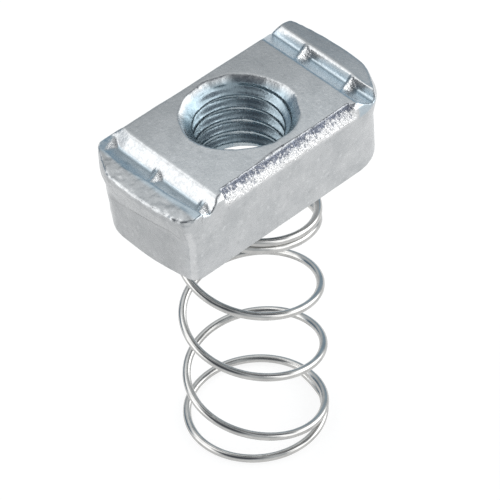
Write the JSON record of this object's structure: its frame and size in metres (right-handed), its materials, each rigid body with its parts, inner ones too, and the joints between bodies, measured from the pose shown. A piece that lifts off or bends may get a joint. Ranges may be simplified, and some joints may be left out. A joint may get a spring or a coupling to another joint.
{
  "type": "strut channel spring nut",
  "caption": "Rectangular strut channel nut with a tapped hole, toothed grooves for the channel's lips and a long coil spring underneath.",
  "frame": {"origin": "centre of the threaded hole in the plane of the flat face between the two grooves, which is the middle of the channel's slot in use", "axes": "+Z along the hole's axis out of the clamping side, +X along the nut's length and across the channel, +Y along the channel; the spring hangs along -Z"},
  "size_m": [0.0354, 0.0189, 0.0511],
  "materials": {
    "zinc_steel": "bright zinc plate over a forged and tumbled surface",
    "spring_wire": "bright plated spring wire"
  },
  "bodies": {
    "spring": {"coil_spring": "spring_wire"},
    "nut": {"nut_body": "zinc_steel"}
  },
  "joints": [
    {"name": "spring_travel", "type": "slide", "parent": "spring", "child": "nut", "axis": [0, 0, -1], "range_m": [0, 0.02], "stiffness_N_per_m": 650, "springref_m": -0.00062, "deforming": ["coil_spring"]}
  ]
}
